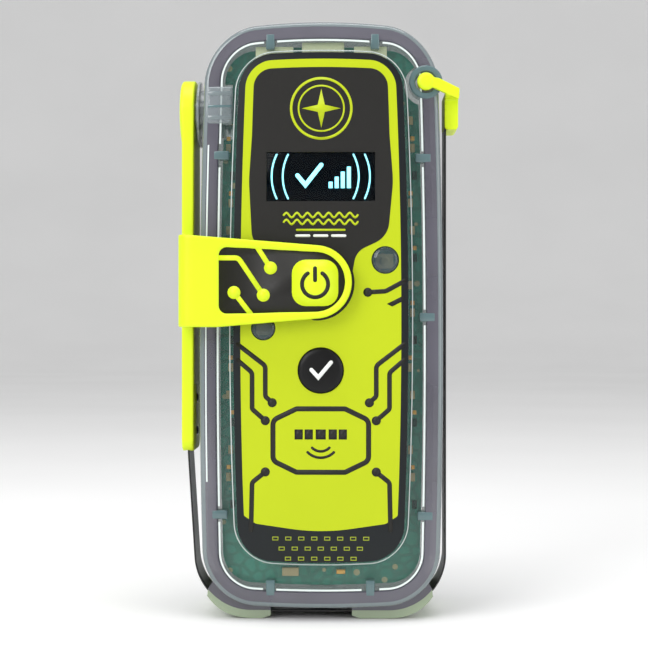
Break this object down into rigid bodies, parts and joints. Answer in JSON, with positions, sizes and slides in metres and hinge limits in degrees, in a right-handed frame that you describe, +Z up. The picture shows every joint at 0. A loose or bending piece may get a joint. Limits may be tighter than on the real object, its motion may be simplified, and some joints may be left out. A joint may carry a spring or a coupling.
{
  "type": "personal emergency position beacon",
  "caption": "Handheld rescue beacon in a clear case with a hinged yellow antenna arm, a flap over the activation button, a face label with display, and a steel tape antenna.",
  "frame": {"origin": "under the middle of the body, on the surface that the lower lips stand on", "axes": "+Z up the long side of the beacon, -Y out of the front face with the label and buttons, +X to the right when looking at the front"},
  "size_m": [0.0538, 0.038, 0.1147],
  "materials": {
    "clear_case": "clear smoky polycarbonate, polished",
    "clear_lens": "clear moulded polycarbonate",
    "label_print": "printed film, yellow-green on black, semi-gloss",
    "display_glass": "dark tinted window",
    "yellow_plastic": "fluorescent yellow-green moulded plastic, fine satin",
    "black_rubber": "black silicone",
    "grey_seal": "soft grey-violet elastomer seal",
    "tape_steel": "spring steel tape with black coating",
    "steel": "stainless steel",
    "board_green": "glass-fibre board with green solder mask",
    "chip_black": "moulded epoxy",
    "ceramic_patch": "ceramic dielectric with silver face",
    "led_white": "white package with phosphor",
    "battery_wrap": "shrink sleeve",
    "tray_black": "moulded nylon",
    "rear_print": "printed polyester film"
  },
  "bodies": {
    "case": {"front_case": "clear_case", "rear_case": "clear_case", "case_seal": "grey_seal", "face_label": "label_print", "display_window": "display_glass", "strobe_lens_upper": "clear_lens", "strobe_lens_lower": "clear_lens", "pivot_barrel": "clear_lens", "main_board": "board_green", "board_screws": "steel", "strobe_led_upper": "led_white", "strobe_led_lower": "led_white", "on_switch": "chip_black", "test_switch": "chip_black", "display_panel": "display_glass", "satnav_patch_antenna": "ceramic_patch", "processor": "chip_black", "radio_module": "steel", "crystal": "steel", "shield_can": "steel", "flash_capacitor": "chip_black", "antenna_contact": "steel", "battery_tray": "tray_black", "battery_cell_left": "battery_wrap", "battery_cell_right": "battery_wrap", "battery_contacts": "steel", "rear_label": "rear_print"},
    "on_button": {"on_button": "black_rubber"},
    "test_button": {"test_button": "black_rubber"},
    "antenna": {"antenna_arm": "yellow_plastic", "flap_label": "label_print", "pivot_shaft": "steel", "shaft_seal": "black_rubber", "shaft_clip": "steel", "tape_clamp": "yellow_plastic", "tape_root": "tape_steel"},
    "tape_left": {"tape_left_bend": "tape_steel"},
    "tape_base": {"tape_base": "tape_steel"},
    "tape_right": {"tape_right_bend": "tape_steel"},
    "tape_side": {"tape_side": "tape_steel", "tip_cap": "yellow_plastic"}
  },
  "joints": [
    {"name": "antenna_swing", "type": "hinge", "parent": "case", "child": "antenna", "pos_m": [0, -0.004, 0.098], "axis": [-1, 0, 0], "range_deg": [0, 180]},
    {"name": "on_button_press", "type": "slide", "parent": "case", "child": "on_button", "axis": [0, 1, 0], "range_m": [0, 0.0005], "stiffness_N_per_m": 1500, "springref_m": -0.0002},
    {"name": "test_button_press", "type": "slide", "parent": "case", "child": "test_button", "axis": [0, 1, 0], "range_m": [0, 0.0005], "stiffness_N_per_m": 1500, "springref_m": -0.0002},
    {"name": "tape_unbend_1", "type": "hinge", "parent": "antenna", "child": "tape_left", "pos_m": [-0.02352, -0.004, 0.00766], "axis": [0, 1, 0], "range_deg": [0, 43.18]},
    {"name": "tape_unbend_2", "type": "hinge", "parent": "tape_left", "child": "tape_base", "pos_m": [-0.01762, -0.004, 0.00212], "axis": [0, 1, 0], "range_deg": [0, 43.18]},
    {"name": "tape_unbend_3", "type": "hinge", "parent": "tape_base", "child": "tape_right", "pos_m": [0.01721, -0.004, 0.00219], "axis": [0, 1, 0], "range_deg": [0, 45.01]},
    {"name": "tape_unbend_4", "type": "hinge", "parent": "tape_right", "child": "tape_side", "pos_m": [0.02316, -0.004, 0.00814], "axis": [0, 1, 0], "range_deg": [0, 45.01]}
  ],
  "couplings": [
    {"joint": "tape_unbend_1", "follows": "antenna_swing", "ratio": 0.23986},
    {"joint": "tape_unbend_2", "follows": "antenna_swing", "ratio": 0.23986},
    {"joint": "tape_unbend_3", "follows": "antenna_swing", "ratio": 0.25},
    {"joint": "tape_unbend_4", "follows": "antenna_swing", "ratio": 0.25}
  ]
}
